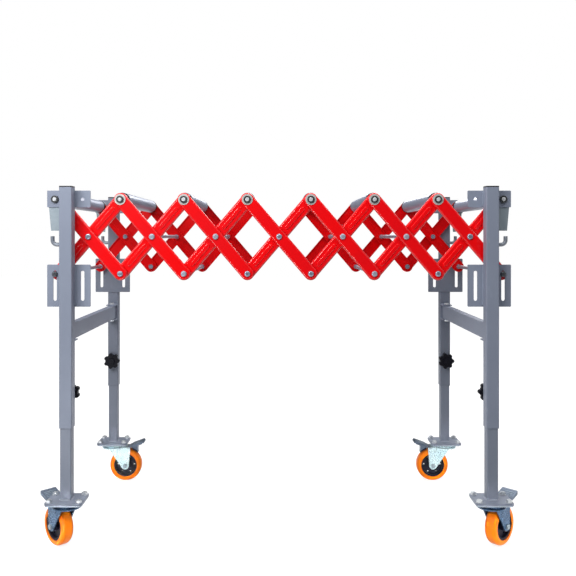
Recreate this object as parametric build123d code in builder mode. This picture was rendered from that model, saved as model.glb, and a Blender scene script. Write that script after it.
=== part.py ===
from build123d import *
import math
import os

# Expandable gravity roller conveyor table. Two lattices of crossed arms carry eight
# rollers between two leg frames, and each frame stands on two telescopic legs with
# braked swivel casters. Millimetres, +X along the bed, +Z up, origin on the floor
# below the middle. Left is -X, near is -Y, and the pivots and rollers count from the left.

os.makedirs("parts", exist_ok=True)

# Clearances
fit_clearance = 0.08  # radial, a pin or axle in its hole
seat_gap = 0.05  # between two pieces of one assembly that are pressed together
side_play = 0.3  # along a pivot's axis, between pieces that turn on each other
slide_clearance = 0.5  # inner leg in outer leg, on each side
overrun = 2.0  # past a face, for every cut

# Lattice
bay_count = 7
bay_pitch = 162.5  # roller to roller, fully extended
arm_pitch = 250.0  # end pivot to end pivot of an arm
arm_width = 34.0
arm_depth = 8.0
arm_wall = 2.0
arm_edge_radius = 5.0
arm_gap = 3.0  # between the two crossed arms
bush_radius = 10.0
rib_width = 11.0
rib_height = 2.2
rib_edge_radius = 1.9
rib_pivot_gap = 26.0  # from a pivot to the near end of a rib
fold_angle = 27.0  # degrees that each arm steepens when the table is pushed together

# Pivot pins and cross rods
pin_radius = 4.0
head_radius = 7.5
head_height = 5.0
head_round = 3.5
rivet_radius = 7.0
rivet_height = 3.5
spacer_radius = 9.0
spacer_play = 0.2
rod_bays = (2, 3, 5, 6)  # middle pivots joined across the table by one rod
low_rod_bays = (2, 5)  # bottom pivots joined the same way
rod_radius = 5.0  # between the lattices

# Rollers and their axles
roller_radius = 19.0
roller_length = 435.0
roller_wall = 1.5
roller_end_gap = 2.5  # to the inner arm
roller_cap_flange = 16.0
roller_cap_depth = 30.0
roller_cap_lip = 0.4
bearing_radius = 11.0
bearing_width = 8.0
axle_radius = 5.0
axle_tip = 1.3
axle_chamfer = 0.8
washer_radius = 14.0
washer_thickness = 1.5
nut_radius = 9.5
nut_height = 3.5
nut_round = 1.0
collar_radius = 8.0

# Legs
leg_side = 32.0
leg_wall = 1.5
leg_corner = 2.5
outer_tube_length = 603.0
inner_tube_length = 400.0
showing_length = 180.0  # of the inner leg, below the outer leg
leg_inset = 35.0  # leg centre inboard of the end roller
cap_thickness = 3.0
cap_plug_depth = 12.0

# Bracket plates on the inner face of each leg
bracket_clearance = 2.35  # to the axle ends that pass behind
bracket_thickness = 3.0
bracket_width = 110.0
bracket_corner = 2.0
bed_drop = 29.0  # end roller below the top of the outer leg
upper_plate_above = 22.0
upper_plate_below = 20.5
spare_hole_radius = 4.5
slot_width = 9.1
slot_top_play = 5.0
slot_bottom_play = 10.9
lower_plate_margin = 15.0

# Crossbar between the near and far leg
crossbar_place_share = 0.712  # of the way from the height knob up to the lower bracket
crossbar_width = 20.0
crossbar_height = 40.0
crossbar_wall = 1.5
crossbar_end_gap = 1.5
clip_thickness = 3.0
clip_width = 30.0
clip_reach = 30.0
clip_gap = 1.2
clip_bolt_radius = 4.0
clip_bolt_head_radius = 7.0
clip_bolt_head_height = 5.0

# Coupling hook and strap on each leg
hook_drop = 144.0  # below the top of the outer leg
hook_bar_radius = 5.0
hook_run = 9.0
hook_bend_radius = 11.25
hook_tip = 10.0
strap_head_radius = 18.0
strap_drop = 80.0
strap_foot_width = 22.0
strap_depth = 4.0
strap_wall = 1.8

# Height knob
knob_rise = 82.0  # above the foot of the outer leg
knob_boss_radius = 9.0
knob_boss_height = 6.0
knob_stud_radius = 4.0
knob_core_radius = 20.0
knob_lobe_count = 7
knob_lobe_radius = 6.0
knob_lobe_circle = 19.0
knob_thickness = 16.0
knob_edge_radius = 2.0
knob_hub_radius = 11.0
knob_hub_height = 5.0
knob_hub_taper = 15.0  # degrees

# Caster
wheel_radius = 50.0
tread_width = 32.0
tread_thickness = 13.5
tread_round = 9.0
core_rim_width = 27.0
core_rim_depth = 5.5
core_web_width = 10.0
core_hub_radius = 13.0
core_hub_width = 36.0
core_hole_count = 6
core_hole_radius = 3.2
core_hole_place_share = 0.75  # of the way from the hub out to the rim
trail = 40.0  # wheel axle behind the swivel axis
wheel_bolt_radius = 4.0
wheel_bolt_head_radius = 6.5
wheel_bolt_head_height = 4.5
wheel_side_gap = 1.0
fork_wall = 3.0
fork_foot_radius = 12.0
fork_lead = 8.0  # side plate ahead of the swivel axis
fork_back = 16.0  # side plate behind the wheel axle
fork_top_band = 8.0
fork_crease_run = 16.0  # pressed crease behind the swivel axis
fork_crease_width = 1.6
fork_crease_depth = 1.0
fork_front_draw = 1.3  # the front edge drawn in behind the flat
crown_gap = 5.0
crown_thickness = 3.0
crown_radius = 36.0
race_height = 4.5
race_radius = 27.0
upper_race_radius = 24.0
race_gap = 0.4
king_radius = 7.0
king_head_radius = 11.0
king_head_height = 5.0
caster_plate_thickness = 3.0
caster_plate_margin = 1.0  # inside the base plate's edge
base_thickness = 5.0
base_length = 94.0
base_width = 80.0
base_corner = 8.0
bolt_spacing_x = 74.0
bolt_spacing_y = 57.0
bolt_radius = 4.0
bolt_low_head_radius = 6.5
bolt_low_head_height = 1.6
bolt_washer_radius = 8.5
bolt_washer_height = 1.2
bolt_nut_radius = 7.5
bolt_nut_height = 5.0
bolt_tip = 1.5

# Brake pedal
pedal_pivot_run = 50.0  # from the swivel axis
pedal_hub_radius = 3.8
pedal_pin_radius = 2.4
pedal_pivot_drop = 2.0  # below the crown's top face
pedal_sheet = 2.5
pedal_root_width = 34.0
pedal_width = 44.0
pedal_knee_clearance = 1.8  # to the circle that the base plate's corners sweep
pedal_knee_rise = 5.0  # from the pivot to the knee
pedal_tread_run = 35.0
pedal_slope = 20.0  # degrees, from the knee outward
pedal_corner = 9.0
pedal_lip = 5.0
pedal_flange = 6.0
pedal_flange_wall = 2.0
brake_arm_run = 18.0
brake_arm_width = 20.0
brake_pad_gap = 4.0
brake_pad_thickness = 4.5

# Swivel headings at rest, in degrees from +X, by side
far_heading = 0.0
near_heading = 136.0

# Derived places along Y, out from the middle plane
roller_end = roller_length / 2
inner_arm_in = roller_end + roller_end_gap
inner_arm_out = inner_arm_in + arm_depth
outer_arm_in = inner_arm_out + arm_gap
outer_arm_out = outer_arm_in + arm_depth
axle_washer_out = outer_arm_out + side_play + washer_thickness
axle_nut_out = axle_washer_out + seat_gap + nut_height
axle_reach = axle_nut_out + axle_tip
plate_in = axle_reach + bracket_clearance
plate_out = plate_in + bracket_thickness
leg_y = plate_out + leg_side / 2
clip_bolt_y = plate_out - (clip_thickness + clip_reach) / 2

# Derived places along X
half_span = bay_count * bay_pitch / 2
leg_x = half_span - leg_inset

# Derived places of the fork's side plates, out from the wheel's middle
fork_in = core_hub_width / 2 + wheel_side_gap
fork_out = fork_in + fork_wall

# Derived heights
crown_bottom = 2 * wheel_radius + crown_gap
crown_top = crown_bottom + crown_thickness
pedal_pivot_z = crown_top - pedal_pivot_drop
lower_race_top = crown_top + race_height
caster_plate_bottom = lower_race_top + race_gap + race_height
caster_plate_top = caster_plate_bottom + caster_plate_thickness
base_bottom = caster_plate_top + seat_gap
base_top = base_bottom + base_thickness
outer_tube_bottom = base_top + showing_length
outer_tube_top = outer_tube_bottom + outer_tube_length
top_z = outer_tube_top - bed_drop
arm_rise = math.sqrt(arm_pitch**2 - bay_pitch**2)
mid_z = top_z - arm_rise / 2
low_z = top_z - arm_rise
steep_angle = math.atan2(arm_rise, bay_pitch) + math.radians(fold_angle)
folded_low_z = top_z - arm_pitch * math.sin(steep_angle)
slot_top = low_z + pin_radius + slot_top_play
slot_bottom = folded_low_z - pin_radius - slot_bottom_play
knob_z = outer_tube_bottom + knob_rise
crossbar_z = knob_z + crossbar_place_share * (slot_bottom - lower_plate_margin - knob_z)
inner_side = leg_side - 2 * (leg_wall + slide_clearance)

# Arms of bay i: the falling pair runs from top pivot i - 1 down to bottom pivot i,
# the rising pair from bottom pivot i - 1 up to top pivot i
FALLING = -1
RISING = 1
NEAR = -1
FAR = 1
LEFT = -1
RIGHT = 1


def pivot_x(index):
    """Place along X of top or bottom pivot index, counted from 0 at the left."""
    return index * bay_pitch - half_span


def middle_x(bay):
    """Place along X of the middle pivot of a bay, counted from 1."""
    return pivot_x(bay) - bay_pitch / 2


def across(x, z):
    """Plane whose Y axis is a pivot axis across the table."""
    return Plane(origin=(x, 0, z), x_dir=(1, 0, 0), z_dir=(0, 0, 1))


def upright(x, y):
    """Plane whose Y axis points straight up."""
    return Plane(origin=(x, y, 0), x_dir=(1, 0, 0), z_dir=(0, -1, 0))


def turned(plane, outline):
    """Piece turned about the plane's Y axis; the outline's corners are (radius, along)."""
    with BuildPart() as piece:
        with BuildSketch(plane):
            with BuildLine():
                Polyline(*outline, close=True)
            make_face()
        revolve(axis=Axis(plane.origin, plane.y_dir))
    return piece


def ring(plane, bore, radius, start, end):
    """Washer, spacer or collar about the plane's Y axis."""
    return turned(plane, [(bore, start), (radius, start), (radius, end), (bore, end)])


def rounded_end(piece, side, height, wanted):
    """Round the outermost edge of a turned piece, on its near or far end."""
    end = 0 if side == NEAR else -1
    edges = piece.edges().filter_by(GeomType.CIRCLE).group_by(Axis.Y)[end]
    fillet(edges.group_by(SortBy.RADIUS)[-1], min(wanted, height - seat_gap))


def write_node(label, pieces):
    """Write one node, in which each piece stays a solid of its own."""
    with BuildPart() as node:
        for piece in pieces:
            add(piece.part)
    node.part.label = label
    export_step(node.part, f"parts/{label}.step")


# Lattice arms: pressed channels with round ends, open toward the middle of the table
def scissor_arm(bay, lean, side, outward, ribbed):
    face = Plane(
        origin=(middle_x(bay), side * outward, mid_z),
        x_dir=(bay_pitch, 0, lean * arm_rise),
        z_dir=(0, -side, 0),
    )
    top_end = (lean * arm_pitch / 2, 0)
    low_end = (-lean * arm_pitch / 2, 0)
    with BuildPart() as arm:
        with BuildSketch(face):
            SlotCenterToCenter(arm_pitch, arm_width)
        extrude(amount=arm_depth)
        pressed_face = arm.faces().sort_by(Axis(face.origin, face.z_dir))[0]
        fillet(pressed_face.edges(), arm_edge_radius)
        with BuildSketch(face.offset(arm_wall)):
            SlotCenterToCenter(arm_pitch, arm_width - 2 * arm_wall)
        extrude(amount=arm_depth - arm_wall, mode=Mode.SUBTRACT)
        with BuildSketch(face.offset(arm_wall)):
            with Locations(top_end, (0, 0), low_end):
                Circle(bush_radius)
        extrude(amount=arm_depth - arm_wall)
        if ribbed:
            with BuildSketch(face):
                with Locations((arm_pitch / 4, 0), (-arm_pitch / 4, 0)):
                    SlotOverall(arm_pitch / 2 - 2 * rib_pivot_gap, rib_width)
            extrude(amount=-rib_height)
            rib_faces = arm.faces().group_by(Axis(face.origin, face.z_dir))[0]
            fillet(rib_faces.edges(), rib_edge_radius)
            groove_width = rib_width - 2 * arm_wall
            groove_length = arm_pitch / 2 - 2 * (rib_pivot_gap + arm_wall)
            with BuildSketch(face.offset(arm_wall)):
                with Locations((arm_pitch / 4, 0), (-arm_pitch / 4, 0)):
                    SlotOverall(groove_length, groove_width)
            extrude(amount=-rib_height, mode=Mode.SUBTRACT)
        with BuildSketch(face):
            with Locations(top_end):
                Circle(axle_radius + fit_clearance)
            with Locations((0, 0), low_end):
                Circle(pin_radius + fit_clearance)
        extrude(amount=arm_depth, mode=Mode.SUBTRACT)
    return arm


def arm_spacers(x, z, hole_radius):
    """Washers between the crossed arms at one pivot, near and far."""
    plane = across(x, z)
    start = inner_arm_out + spacer_play
    end = outer_arm_in - spacer_play
    bore = hole_radius + fit_clearance
    return [ring(plane, bore, spacer_radius, side * start, side * end) for side in (NEAR, FAR)]


def short_pin(x, z, side, inside):
    """Pivot pin with a domed head outside and a riveted head on the inner side."""
    shoulder = outer_arm_out + side_play
    tail = inside - side_play
    outline = [
        (0, tail - rivet_height),
        (rivet_radius, tail - rivet_height),
        (rivet_radius, tail),
        (pin_radius, tail),
        (pin_radius, shoulder),
        (head_radius, shoulder),
        (head_radius, shoulder + head_height),
        (0, shoulder + head_height),
    ]
    with BuildPart() as pin:
        add(turned(across(x, z), [(r, side * y) for r, y in outline]).part)
        rounded_end(pin, side, head_height, head_round)
    return pin


def cross_rod(x, z, shoulder, near_in, far_in):
    """Rod from the near lattice to the far one, thicker between its two collars, with
    a domed head at each end."""
    collar_room = side_play + rivet_height + seat_gap
    thick_start = collar_room - near_in
    thick_end = far_in - collar_room
    outline = [
        (0, -shoulder - head_height),
        (head_radius, -shoulder - head_height),
        (head_radius, -shoulder),
        (pin_radius, -shoulder),
        (pin_radius, thick_start),
        (rod_radius, thick_start),
        (rod_radius, thick_end),
        (pin_radius, thick_end),
        (pin_radius, shoulder),
        (head_radius, shoulder),
        (head_radius, shoulder + head_height),
        (0, shoulder + head_height),
    ]
    with BuildPart() as rod:
        add(turned(across(x, z), outline).part)
        rounded_end(rod, NEAR, head_height, head_round)
        rounded_end(rod, FAR, head_height, head_round)
    return rod


def rod_collar(x, z, side, inside):
    """Collar that keeps a cross rod from sliding, inside the arm it passes."""
    end = inside - side_play
    bore = pin_radius + seat_gap
    return ring(across(x, z), bore, rivet_radius, side * (end - rivet_height), side * end)


def pivot_hardware(x, z, crosses):
    """Pins or a rod with its collars, and the spacers, at a middle or bottom pivot."""
    pieces = arm_spacers(x, z, pin_radius)
    if crosses:
        shoulder = outer_arm_out + side_play
        pieces.append(cross_rod(x, z, shoulder, inner_arm_in, inner_arm_in))
        pieces += [rod_collar(x, z, side, inner_arm_in) for side in (NEAR, FAR)]
    else:
        pieces += [short_pin(x, z, side, inner_arm_in) for side in (NEAR, FAR)]
    return pieces


def end_rod(end, near_arm_in, near_arm_out, far_arm_in, far_arm_out):
    """Rod at an end's bottom pivot, through the slots of both lower brackets."""
    x = end * half_span
    plane = across(x, low_z)
    bore = pin_radius + seat_gap
    sleeve_end = plate_in - side_play
    return [
        cross_rod(x, low_z, plate_out + side_play, near_arm_in, far_arm_in),
        ring(plane, bore, rivet_radius, -near_arm_out - side_play, -sleeve_end),
        ring(plane, bore, rivet_radius, far_arm_out + side_play, sleeve_end),
        rod_collar(x, low_z, NEAR, near_arm_in),
        rod_collar(x, low_z, FAR, far_arm_in),
    ]


def falling_arms(bay):
    """Smooth near arm outside, ribbed far arm inside, with the pivots they carry."""
    pieces = [
        scissor_arm(bay, FALLING, NEAR, outer_arm_out, ribbed=False),
        scissor_arm(bay, FALLING, FAR, inner_arm_out, ribbed=True),
    ]
    pieces += pivot_hardware(middle_x(bay), mid_z, bay in rod_bays)
    if bay < bay_count:
        pieces += pivot_hardware(pivot_x(bay), low_z, bay in low_rod_bays)
    else:
        pieces += end_rod(RIGHT, outer_arm_in, outer_arm_out, inner_arm_in, inner_arm_out)
    write_node(f"falling_arms_{bay}", pieces)


def rising_arms(bay):
    """Ribbed near arm inside, smooth far arm outside."""
    pieces = [
        scissor_arm(bay, RISING, NEAR, inner_arm_out, ribbed=True),
        scissor_arm(bay, RISING, FAR, outer_arm_out, ribbed=False),
    ]
    if bay == 1:
        pieces += end_rod(LEFT, inner_arm_in, inner_arm_out, outer_arm_in, outer_arm_out)
    write_node(f"rising_arms_{bay}", pieces)


for bay in range(1, bay_count + 1):
    falling_arms(bay)
    rising_arms(bay)


# Roller axles: a straight shaft with a washer and a round nut outside each lattice
def axle_shaft(x, reach):
    outline = [(0, -reach), (axle_radius, -reach), (axle_radius, reach), (0, reach)]
    with BuildPart() as shaft:
        add(turned(across(x, top_z), outline).part)
        chamfer(shaft.edges().filter_by(GeomType.CIRCLE), axle_chamfer)
    return shaft


def round_nut(x, side, start):
    plane = across(x, top_z)
    end = start + nut_height
    with BuildPart() as nut:
        add(ring(plane, axle_radius + seat_gap, nut_radius, side * start, side * end).part)
        rounded_end(nut, side, nut_height, nut_round)
    return nut


def roller_axle(index):
    x = pivot_x(index)
    plane = across(x, top_z)
    bore = axle_radius + seat_gap
    pieces = [axle_shaft(x, axle_reach)]
    pieces += arm_spacers(x, top_z, axle_radius)
    for side in (NEAR, FAR):
        washer_in = axle_washer_out - washer_thickness
        pieces.append(ring(plane, bore, washer_radius, side * washer_in, side * axle_washer_out))
        pieces.append(round_nut(x, side, axle_washer_out + seat_gap))
        collar_in = roller_end + side_play
        collar_out = inner_arm_in - side_play
        pieces.append(ring(plane, bore, collar_radius, side * collar_in, side * collar_out))
    write_node(f"roller_axle_{index + 1}", pieces)


for index in range(1, bay_count):
    roller_axle(index)


# Rollers: a steel tube, a cap pressed into each end and a bearing in each cap
def roller_cap(x, side):
    flange_in = roller_end - roller_cap_flange
    plug_in = roller_end - roller_cap_depth
    pocket_out = plug_in + bearing_width
    plug_radius = roller_radius - roller_wall - seat_gap
    bore = axle_radius + fit_clearance
    pocket = bearing_radius + seat_gap
    outline = [
        (bore, roller_end),
        (roller_radius - roller_cap_lip, roller_end),
        (roller_radius - roller_cap_lip, flange_in),
        (plug_radius, flange_in),
        (plug_radius, plug_in),
        (pocket, plug_in),
        (pocket, pocket_out),
        (bore, pocket_out),
    ]
    return turned(across(x, top_z), [(r, side * y) for r, y in outline])


def roller_bearing(x, side):
    start = roller_end - roller_cap_depth
    end = start + bearing_width - seat_gap
    bore = axle_radius + fit_clearance
    return ring(across(x, top_z), bore, bearing_radius, side * start, side * end)


def roller(index):
    x = pivot_x(index)
    half_tube = roller_end - roller_cap_flange - seat_gap
    bore = roller_radius - roller_wall
    pieces = [ring(across(x, top_z), bore, roller_radius, -half_tube, half_tube)]
    for side in (NEAR, FAR):
        pieces.append(roller_cap(x, side))
        pieces.append(roller_bearing(x, side))
    write_node(f"roller_{index + 1}", pieces)


for index in range(bay_count + 1):
    roller(index)


# Leg frames
def square_tube(x, y, bottom, length, side_length, wall, corner):
    """Upright square tube with rounded corners."""
    inner = side_length - 2 * wall
    with BuildPart() as tube:
        with BuildSketch(Plane.XY.offset(bottom)):
            with Locations((x, y)):
                RectangleRounded(side_length, side_length, corner)
                RectangleRounded(inner, inner, corner - wall / 2, mode=Mode.SUBTRACT)
        extrude(amount=length)
    return tube


def inward(x, side, start, z):
    """Plane square to Y that faces the middle of the table, with its Y axis up."""
    return Plane(origin=(x, side * start, z), x_dir=(side, 0, 0), z_dir=(0, -side, 0))


def outer_leg(x, side):
    """Outer leg tube with the threaded boss of its height knob."""
    knob_face = inward(x, side, plate_out, knob_z)
    tube = square_tube(
        x, side * leg_y, outer_tube_bottom, outer_tube_length, leg_side, leg_wall, leg_corner
    )
    with BuildPart() as leg:
        add(tube.part)
        with BuildSketch(knob_face):
            Circle(knob_boss_radius)
        extrude(amount=knob_boss_height)
        with BuildSketch(knob_face.offset(-leg_wall - slide_clearance / 2)):
            Circle(knob_stud_radius + fit_clearance)
        extrude(amount=leg_wall + knob_boss_height + overrun, mode=Mode.SUBTRACT)
    return leg


def upper_bracket(end, side):
    """Plate that holds the end axle, with a spare hole on the other side of the leg."""
    x = end * leg_x
    height = upper_plate_above + upper_plate_below
    hole_run = half_span - leg_x
    face = inward(x, side, plate_out, top_z)
    with BuildPart() as plate:
        with BuildSketch(face):
            with Locations((0, (upper_plate_above - upper_plate_below) / 2)):
                RectangleRounded(bracket_width, height, bracket_corner)
        extrude(amount=bracket_thickness)
        with BuildSketch(face):
            with Locations((side * end * hole_run, 0)):
                Circle(axle_radius + seat_gap)
            with Locations((-side * end * hole_run, 0)):
                Circle(spare_hole_radius)
        extrude(amount=bracket_thickness, mode=Mode.SUBTRACT)
    return plate


def lower_bracket(end, side):
    """Plate with two upright slots; the outboard one guides the end's bottom rod."""
    x = end * leg_x
    slot_length = slot_top - slot_bottom
    slot_run = half_span - leg_x
    face = inward(x, side, plate_out, (slot_top + slot_bottom) / 2)
    with BuildPart() as plate:
        with BuildSketch(face):
            RectangleRounded(bracket_width, slot_length + 2 * lower_plate_margin, bracket_corner)
            with Locations((-slot_run, 0), (slot_run, 0)):
                SlotOverall(slot_length, slot_width, rotation=90, mode=Mode.SUBTRACT)
        extrude(amount=bracket_thickness)
    return plate


def end_axle(end):
    """End roller's axle with its nuts outside the brackets and spacers inside them."""
    x = end * half_span
    plane = across(x, top_z)
    bore = axle_radius + seat_gap
    outer_end = inner_arm_out if end == RIGHT else outer_arm_out
    starts = {NEAR: outer_end, FAR: inner_arm_out + outer_arm_out - outer_end}
    washer_in = plate_out + seat_gap
    washer_out = washer_in + washer_thickness
    nut_in = washer_out + seat_gap
    pieces = [axle_shaft(x, nut_in + nut_height + axle_tip)]
    for side in (NEAR, FAR):
        arm_out = starts[side]
        arm_in = arm_out - arm_depth
        strap_face = plate_in - seat_gap - strap_wall
        spans = [
            (collar_radius, roller_end + side_play, arm_in - side_play),
            (collar_radius, arm_out + side_play, strap_face - seat_gap),
            (nut_radius, washer_in, washer_out),
        ]
        pieces += [ring(plane, bore, r, side * a, side * b) for r, a, b in spans]
        pieces.append(round_nut(x, side, nut_in))
    return pieces


def coupling_strap(end, side):
    """Tapered channel that hangs on the end axle behind the bracket."""
    x = end * half_span
    face = inward(x, side, plate_in - seat_gap, top_z)
    with BuildPart() as strap:
        with BuildSketch(face):
            Circle(strap_head_radius)
            with Locations((0, -strap_drop + strap_wall)):
                Rectangle(strap_foot_width, 2 * strap_wall)
            make_hull()
        extrude(amount=strap_depth)
        with BuildSketch(face.offset(strap_wall)):
            Circle(strap_head_radius - strap_wall)
            with Locations((0, -strap_drop + 2 * strap_wall)):
                Rectangle(strap_foot_width - 2 * strap_wall, 2 * strap_wall)
            make_hull()
        extrude(amount=strap_depth, mode=Mode.SUBTRACT)
        with BuildSketch(face):
            Circle(axle_radius + seat_gap)
        extrude(amount=strap_depth, mode=Mode.SUBTRACT)
    return strap


def coupling_hook(end, side):
    """Round bar on the leg's outer face that bends up into a hook."""
    start = Vector(end * (leg_x + leg_side / 2), side * leg_y, outer_tube_top - hook_drop)
    plane = Plane(origin=start, x_dir=(end, 0, 0), z_dir=(0, -end, 0))
    with BuildPart() as hook:
        with BuildLine(plane) as path:
            run = Line((0, 0), (hook_run, 0))
            bend = JernArc(run @ 1, run % 1, hook_bend_radius, 90)
            Line(bend @ 1, (bend @ 1) + (0, hook_tip))
        with BuildSketch(Plane(origin=start, z_dir=(end, 0, 0))):
            Circle(hook_bar_radius)
        sweep(path=path.wire())
    return hook


def leg_cap(x, side):
    """Plastic cap plugged into the top of an outer leg."""
    plug_side = leg_side - 2 * leg_wall - 2 * seat_gap
    with BuildPart() as cap:
        with BuildSketch(Plane.XY.offset(outer_tube_top)):
            with Locations((x, side * leg_y)):
                RectangleRounded(leg_side, leg_side, leg_corner)
        extrude(amount=cap_thickness)
        with BuildSketch(Plane.XY.offset(outer_tube_top - cap_plug_depth)):
            with Locations((x, side * leg_y)):
                RectangleRounded(plug_side, plug_side, leg_corner - leg_wall / 2)
        extrude(amount=cap_plug_depth)
    return cap


def crossbar_tube(x, z):
    half_length = plate_out - clip_thickness - crossbar_end_gap
    face = inward(x, FAR, half_length, z)
    with BuildPart() as bar:
        with BuildSketch(face):
            Rectangle(crossbar_width, crossbar_height)
            Rectangle(
                crossbar_width - 2 * crossbar_wall,
                crossbar_height - 2 * crossbar_wall,
                mode=Mode.SUBTRACT,
            )
        extrude(amount=2 * half_length)
        with BuildSketch(Plane.XY.offset(z - crossbar_height / 2)):
            with Locations((x, -clip_bolt_y), (x, clip_bolt_y)):
                Circle(clip_bolt_radius + seat_gap)
        extrude(amount=crossbar_height, mode=Mode.SUBTRACT)
    return bar


def crossbar_clip(x, side, z):
    """U clip on the leg's inner face, over and under the end of the crossbar."""
    inner_half = crossbar_height / 2 + clip_gap
    outer_half = inner_half + clip_thickness
    face = inward(x, side, plate_out, z)
    with BuildPart() as clip:
        with BuildSketch(face):
            Rectangle(clip_width, 2 * outer_half)
        extrude(amount=clip_reach)
        with BuildSketch(face.offset(clip_thickness)):
            Rectangle(clip_width, 2 * inner_half)
        extrude(amount=clip_reach, mode=Mode.SUBTRACT)
        with BuildSketch(Plane.XY.offset(z - outer_half)):
            with Locations((x, side * clip_bolt_y)):
                Circle(clip_bolt_radius + seat_gap)
        extrude(amount=2 * outer_half, mode=Mode.SUBTRACT)
    return clip


def crossbar_bolt(x, side, z):
    """Upright bolt through the clip and the crossbar, with a domed nut below."""
    grip = crossbar_height / 2 + clip_gap + clip_thickness + seat_gap
    end = grip + clip_bolt_head_height
    outline = [
        (0, z - end),
        (clip_bolt_head_radius, z - end),
        (clip_bolt_head_radius, z - grip),
        (clip_bolt_radius, z - grip),
        (clip_bolt_radius, z + grip),
        (clip_bolt_head_radius, z + grip),
        (clip_bolt_head_radius, z + end),
        (0, z + end),
    ]
    with BuildPart() as bolt:
        add(turned(upright(x, side * clip_bolt_y), outline).part)
        low_edges = bolt.edges().filter_by(GeomType.CIRCLE).group_by(Axis.Z)[0]
        fillet(low_edges, clip_bolt_head_height / 2)
    return bolt


def leg_frame(name, end):
    x = end * leg_x
    sides = (NEAR, FAR)
    write_node(f"{name}_leg_tubes", [outer_leg(x, side) for side in sides])
    write_node(f"{name}_leg_caps", [leg_cap(x, side) for side in sides])
    plates = [upper_bracket(end, side) for side in sides]
    plates += [lower_bracket(end, side) for side in sides]
    write_node(f"{name}_bracket_plates", plates)
    hooks = [coupling_hook(end, side) for side in sides]
    hooks += [coupling_strap(end, side) for side in sides]
    write_node(f"{name}_coupling_hooks", hooks)
    write_node(f"{name}_end_axle", end_axle(end))
    bar_pieces = [crossbar_tube(x, crossbar_z)]
    bar_pieces += [crossbar_clip(x, side, crossbar_z) for side in sides]
    bar_pieces += [crossbar_bolt(x, side, crossbar_z) for side in sides]
    write_node(f"{name}_crossbar", bar_pieces)


leg_frame("left", LEFT)
leg_frame("right", RIGHT)


# Telescopic inner legs, each with its base plate, the caster's top plate and four bolts
def leg_foot(x, y):
    """Inner leg tube welded to its base plate."""
    tube = square_tube(x, y, base_top, inner_tube_length, inner_side, leg_wall, leg_corner)
    with BuildPart() as foot:
        add(tube.part)
        with BuildSketch(Plane.XY.offset(base_bottom)):
            with Locations((x, y)):
                RectangleRounded(base_length, base_width, base_corner)
        extrude(amount=base_thickness)
        with BuildSketch(Plane.XY.offset(base_bottom)):
            with Locations((x, y)):
                with GridLocations(bolt_spacing_x, bolt_spacing_y, 2, 2):
                    Circle(bolt_radius + seat_gap)
        extrude(amount=base_thickness, mode=Mode.SUBTRACT)
    return foot


def caster_plate(x, y):
    """Caster's top plate with the upper race pressed down from it."""
    length = base_length - 2 * caster_plate_margin
    width = base_width - 2 * caster_plate_margin
    with BuildPart() as plate:
        with BuildSketch(Plane.XY.offset(caster_plate_bottom)):
            with Locations((x, y)):
                RectangleRounded(length, width, base_corner)
                with GridLocations(bolt_spacing_x, bolt_spacing_y, 2, 2):
                    Circle(bolt_radius + seat_gap, mode=Mode.SUBTRACT)
        extrude(amount=caster_plate_thickness)
        with BuildSketch(Plane.XY.offset(caster_plate_bottom - race_height)):
            with Locations((x, y)):
                Circle(upper_race_radius)
        extrude(amount=race_height)
        with BuildSketch(Plane.XY.offset(caster_plate_bottom - race_height)):
            with Locations((x, y)):
                Circle(king_radius + fit_clearance)
        extrude(amount=race_height + caster_plate_thickness, mode=Mode.SUBTRACT)
    return plate


def caster_bolt(x, y):
    """Low head under the caster's plate, washer, hex nut and bolt tip on the base plate."""
    head_top = caster_plate_bottom - seat_gap
    washer_bottom = base_top + seat_gap
    nut_bottom = washer_bottom + bolt_washer_height
    tip = nut_bottom + bolt_nut_height + bolt_tip
    outline = [
        (0, head_top - bolt_low_head_height),
        (bolt_low_head_radius, head_top - bolt_low_head_height),
        (bolt_low_head_radius, head_top),
        (bolt_radius, head_top),
        (bolt_radius, washer_bottom),
        (bolt_washer_radius, washer_bottom),
        (bolt_washer_radius, nut_bottom),
        (bolt_radius, nut_bottom),
        (bolt_radius, tip),
        (0, tip),
    ]
    with BuildPart() as bolt:
        add(turned(upright(x, y), outline).part)
        with BuildSketch(Plane.XY.offset(nut_bottom)):
            with Locations((x, y)):
                RegularPolygon(bolt_nut_radius, 6)
        extrude(amount=bolt_nut_height)
    return bolt


def inner_leg(name, x, y):
    pieces = [leg_foot(x, y), caster_plate(x, y)]
    for dx in (-bolt_spacing_x / 2, bolt_spacing_x / 2):
        for dy in (-bolt_spacing_y / 2, bolt_spacing_y / 2):
            pieces.append(caster_bolt(x + dx, y + dy))
    write_node(f"{name}_inner_leg", pieces)


# Height knob: a seven-lobed grip on a threaded stud that presses on the inner leg
def height_knob(name, x, side):
    stud_start = leg_y - inner_side / 2 - slide_clearance / 2
    grip_start = plate_out - knob_boss_height - side_play
    face = inward(x, side, grip_start, knob_z)
    with BuildPart() as knob:
        with BuildSketch(face):
            Circle(knob_core_radius)
            with PolarLocations(knob_lobe_circle, knob_lobe_count):
                Circle(knob_lobe_radius)
        extrude(amount=knob_thickness)
        end_faces = knob.faces().filter_by(Axis.Y)
        fillet(end_faces.edges(), knob_edge_radius)
        with BuildSketch(face.offset(knob_thickness)):
            Circle(knob_hub_radius)
        extrude(amount=knob_hub_height, taper=knob_hub_taper)
        with BuildSketch(inward(x, side, stud_start, knob_z)):
            Circle(knob_stud_radius)
        extrude(amount=stud_start - grip_start)
    knob.part.label = f"{name}_knob"
    export_step(knob.part, f"parts/{name}_knob.step")


# Swivel casters. The plane's X axis points where the wheel trails.
def caster_plane(x, y, heading):
    angle = math.radians(heading)
    return Plane(origin=(x, y, 0), x_dir=(math.cos(angle), math.sin(angle), 0), z_dir=(0, 0, 1))


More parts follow.
